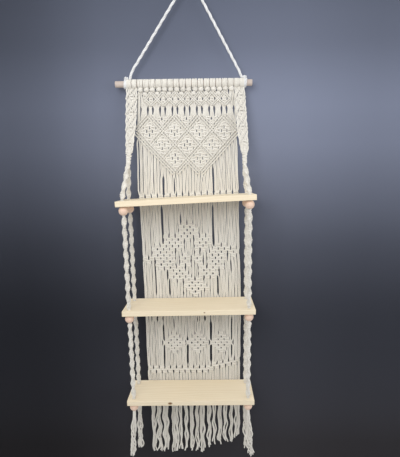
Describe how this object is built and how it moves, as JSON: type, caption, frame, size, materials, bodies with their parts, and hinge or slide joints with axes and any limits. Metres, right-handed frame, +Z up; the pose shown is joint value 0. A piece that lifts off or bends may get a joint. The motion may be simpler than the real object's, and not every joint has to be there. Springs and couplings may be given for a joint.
{
  "type": "hanging rope shelf",
  "caption": "Tiered wall shelf: wooden boards on knotted cotton ropes under one dowel, a knotted cotton panel with fringe behind them, hung from a hook by one cord.",
  "frame": {"origin": "top of the hook that the hanging cord rests on, in the vertical plane of the dowel's axis", "axes": "+X to the right along the dowel, +Y into the wall, +Z up"},
  "size_m": [0.4424, 0.1533, 1.6296],
  "materials": {
    "cotton": "matt undyed cotton string, twisted",
    "white_cotton": "matt white cotton cord, twisted",
    "pine": "planed and oiled, satin",
    "beech": "turned and sanded, satin"
  },
  "bodies": {
    "hanger": {"hanging_cord": "white_cotton", "cord_knot_left": "white_cotton", "cord_knot_right": "white_cotton", "dowel": "beech", "panel_hitches": "cotton", "panel_heading": "cotton", "panel_heart": "cotton", "panel_fringe_upper": "cotton", "panel_curtain_middle": "cotton", "panel_star": "cotton", "panel_curtain_lower": "cotton", "panel_swag": "cotton", "panel_fringe_bottom": "cotton"},
    "bands": {"band_hitches_left": "cotton", "band_hitches_right": "cotton", "side_band_left": "cotton", "side_band_right": "cotton"},
    "ropes_top_left": {"rope_top_left_front": "cotton", "rope_top_left_back": "cotton"},
    "ropes_top_right": {"rope_top_right_front": "cotton", "rope_top_right_back": "cotton"},
    "shelf_top": {"board_top": "pine", "bead_top_left_front": "beech", "bead_top_left_back": "beech", "bead_top_right_front": "beech", "bead_top_right_back": "beech", "cord_bundle_top_left_front": "cotton", "cord_bundle_top_left_back": "cotton", "cord_bundle_top_right_front": "cotton", "cord_bundle_top_right_back": "cotton"},
    "ropes_middle_left": {"rope_middle_left_front": "cotton", "rope_middle_left_back": "cotton"},
    "ropes_middle_right": {"rope_middle_right_front": "cotton", "rope_middle_right_back": "cotton"},
    "shelf_middle": {"board_middle": "pine", "bead_middle_left_front": "beech", "bead_middle_left_back": "beech", "bead_middle_right_front": "beech", "bead_middle_right_back": "beech", "cord_bundle_middle_left_front": "cotton", "cord_bundle_middle_left_back": "cotton", "cord_bundle_middle_right_front": "cotton", "cord_bundle_middle_right_back": "cotton"},
    "ropes_bottom_left": {"rope_bottom_left_front": "cotton", "rope_bottom_left_back": "cotton"},
    "ropes_bottom_right": {"rope_bottom_right_front": "cotton", "rope_bottom_right_back": "cotton"},
    "shelf_bottom": {"board_bottom": "pine", "bead_bottom_left_front": "beech", "bead_bottom_left_back": "beech", "bead_bottom_right_front": "beech", "bead_bottom_right_back": "beech", "cord_bundle_bottom_left_front": "cotton", "cord_bundle_bottom_left_back": "cotton", "cord_bundle_bottom_right_front": "cotton", "cord_bundle_bottom_right_back": "cotton", "tassel_left_front": "cotton", "tassel_left_back": "cotton", "tassel_right_front": "cotton", "tassel_right_back": "cotton"}
  },
  "joints": [
    {"name": "swing_out", "type": "hinge", "parent": "hanger", "child": "bands", "pos_m": [-0.017, 0, -0.289], "axis": [-1, 0, 0], "range_deg": [0, 15]},
    {"name": "sway_top", "type": "hinge", "parent": "bands", "child": "shelf_top", "pos_m": [-0.02066, -0.067, 1.08501], "axis": [0, 1, 0], "range_deg": [-0.33, 0.33], "stiffness_Nm_per_rad": 676},
    {"name": "lean_top_left", "type": "hinge", "parent": "bands", "child": "ropes_top_left", "pos_m": [-0.202, -0.052, -0.545], "axis": [0, 1, 0], "range_deg": [-6.1, 6.1]},
    {"name": "lean_top_right", "type": "hinge", "parent": "bands", "child": "ropes_top_right", "pos_m": [0.168, -0.052, -0.545], "axis": [0, 1, 0], "range_deg": [-7.2, 7.2]},
    {"name": "sway_middle", "type": "slide", "parent": "shelf_top", "child": "shelf_middle", "axis": [1, 0, 0], "range_m": [-0.0253, 0.0253], "stiffness_N_per_m": 48},
    {"name": "lean_middle_left", "type": "hinge", "parent": "shelf_top", "child": "ropes_middle_left", "pos_m": [-0.21018, -0.067, -0.69889], "axis": [0, 1, 0], "range_deg": [-5, 5]},
    {"name": "lean_middle_right", "type": "hinge", "parent": "shelf_top", "child": "ropes_middle_right", "pos_m": [0.17951, -0.067, -0.68344], "axis": [0, 1, 0], "range_deg": [-5, 5]},
    {"name": "sway_bottom", "type": "slide", "parent": "shelf_middle", "child": "shelf_bottom", "axis": [1, 0, 0], "range_m": [-0.0225, 0.0225], "stiffness_N_per_m": 28},
    {"name": "lean_bottom_left", "type": "hinge", "parent": "shelf_middle", "child": "ropes_bottom_left", "pos_m": [-0.20967, -0.067, -1.0487], "axis": [0, 1, 0], "range_deg": [-5, 5]},
    {"name": "lean_bottom_right", "type": "hinge", "parent": "shelf_middle", "child": "ropes_bottom_right", "pos_m": [0.18032, -0.067, -1.0457], "axis": [0, 1, 0], "range_deg": [-5, 5]}
  ],
  "couplings": [
    {"joint": "lean_top_left", "follows": "sway_top", "ratio": 18.224},
    {"joint": "lean_top_right", "follows": "sway_top", "ratio": 21.584},
    {"joint": "lean_middle_left", "follows": "sway_middle", "rad_per_m": -3.4423},
    {"joint": "lean_middle_right", "follows": "sway_middle", "rad_per_m": -3.3008},
    {"joint": "lean_bottom_left", "follows": "sway_bottom", "rad_per_m": -3.8729},
    {"joint": "lean_bottom_right", "follows": "sway_bottom", "rad_per_m": -3.8285}
  ]
}
